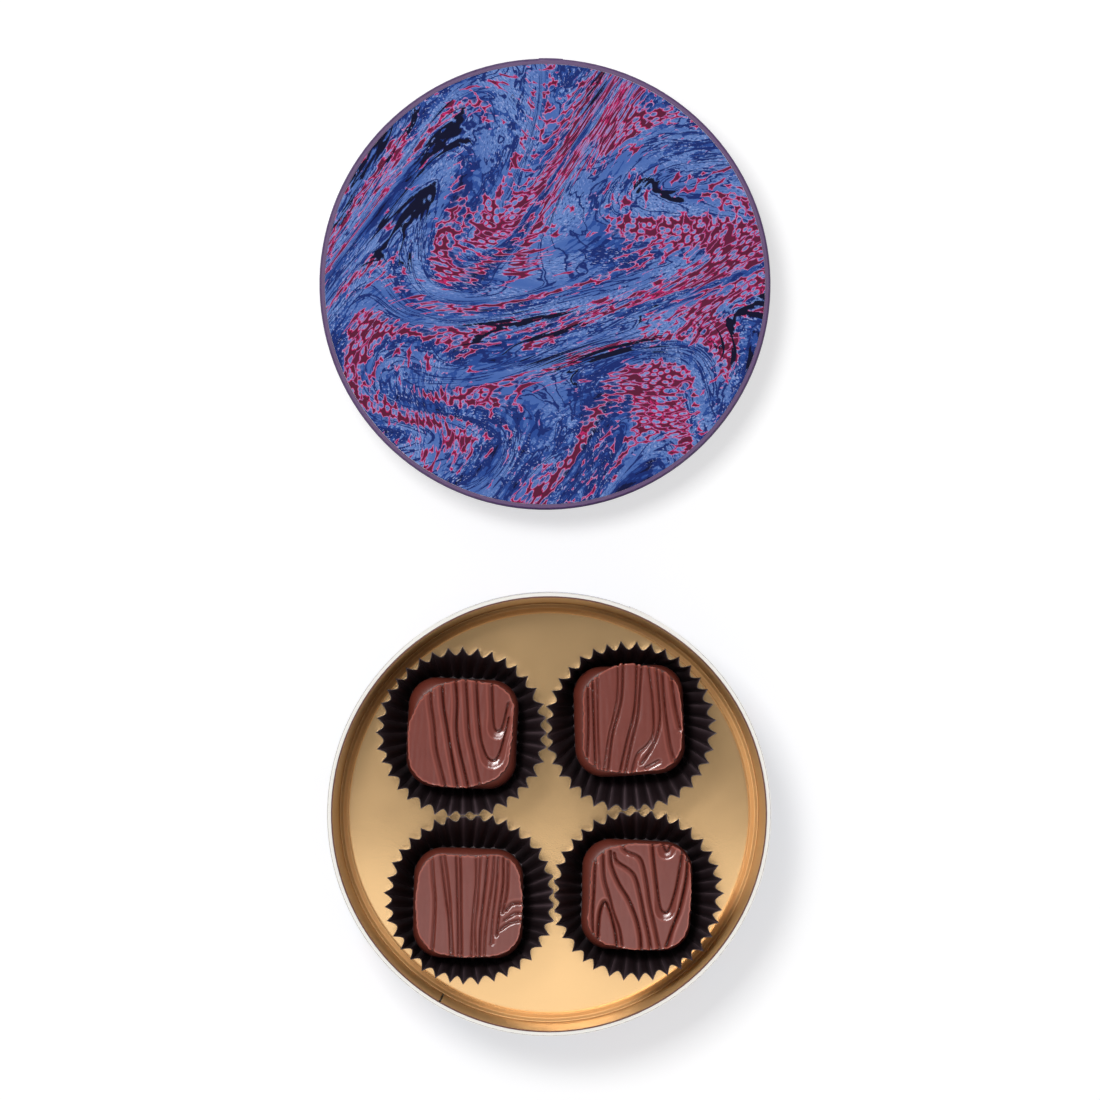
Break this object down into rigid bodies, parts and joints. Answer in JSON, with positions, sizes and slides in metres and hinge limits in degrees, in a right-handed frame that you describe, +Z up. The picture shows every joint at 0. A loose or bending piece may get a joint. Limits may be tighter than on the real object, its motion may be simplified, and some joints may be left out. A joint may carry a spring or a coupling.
{
  "type": "chocolate box",
  "caption": "Round paperboard chocolate box with a lift-off lid, a gilt tray and chocolates standing in fluted paper cups.",
  "frame": {"origin": "centre of the underside of the base, on the surface that it stands on", "axes": "+Z up; +Y from the base towards the lid lying beside it; +X to the right when looking along +Y"},
  "size_m": [0.112, 0.2425, 0.026],
  "materials": {
    "raw_board": "matte",
    "marbled_paper": "satin",
    "purple_paper": "satin",
    "gilt_card": "satin",
    "cup_paper": "satin",
    "milk_chocolate": "satin",
    "chocolate_centre": "matte"
  },
  "bodies": {
    "base": {"base_wall": "raw_board", "base_wrap": "marbled_paper", "base_lining": "gilt_card", "base_floor_board": "raw_board", "base_tray": "gilt_card"},
    "lid": {"lid_hoop": "raw_board", "lid_wrap": "purple_paper", "lid_top_board": "raw_board", "lid_print": "marbled_paper", "lid_lining": "gilt_card"},
    "cup_1": {"paper_cup_1": "cup_paper"},
    "chocolate_1": {"chocolate_coating_1": "milk_chocolate", "chocolate_centre_1": "chocolate_centre"},
    "cup_2": {"paper_cup_2": "cup_paper"},
    "chocolate_2": {"chocolate_coating_2": "milk_chocolate", "chocolate_centre_2": "chocolate_centre"},
    "cup_3": {"paper_cup_3": "cup_paper"},
    "chocolate_3": {"chocolate_coating_3": "milk_chocolate", "chocolate_centre_3": "chocolate_centre"},
    "cup_4": {"paper_cup_4": "cup_paper"},
    "chocolate_4": {"chocolate_coating_4": "milk_chocolate", "chocolate_centre_4": "chocolate_centre"}
  },
  "joints": [
    {"name": "lid_lift", "type": "slide", "parent": "base", "child": "lid", "axis": [0, 0, 1], "range_m": [0, 0.035]},
    {"name": "cup_1_lift", "type": "slide", "parent": "base", "child": "cup_1", "axis": [0, 0, 1], "range_m": [0, 0.035]},
    {"name": "chocolate_1_lift", "type": "slide", "parent": "cup_1", "child": "chocolate_1", "axis": [0, 0, 1], "range_m": [0, 0.025]},
    {"name": "cup_2_lift", "type": "slide", "parent": "base", "child": "cup_2", "axis": [0, 0, 1], "range_m": [0, 0.035]},
    {"name": "chocolate_2_lift", "type": "slide", "parent": "cup_2", "child": "chocolate_2", "axis": [0, 0, 1], "range_m": [0, 0.025]},
    {"name": "cup_3_lift", "type": "slide", "parent": "base", "child": "cup_3", "axis": [0, 0, 1], "range_m": [0, 0.035]},
    {"name": "chocolate_3_lift", "type": "slide", "parent": "cup_3", "child": "chocolate_3", "axis": [0, 0, 1], "range_m": [0, 0.025]},
    {"name": "cup_4_lift", "type": "slide", "parent": "base", "child": "cup_4", "axis": [0, 0, 1], "range_m": [0, 0.035]},
    {"name": "chocolate_4_lift", "type": "slide", "parent": "cup_4", "child": "chocolate_4", "axis": [0, 0, 1], "range_m": [0, 0.025]}
  ]
}
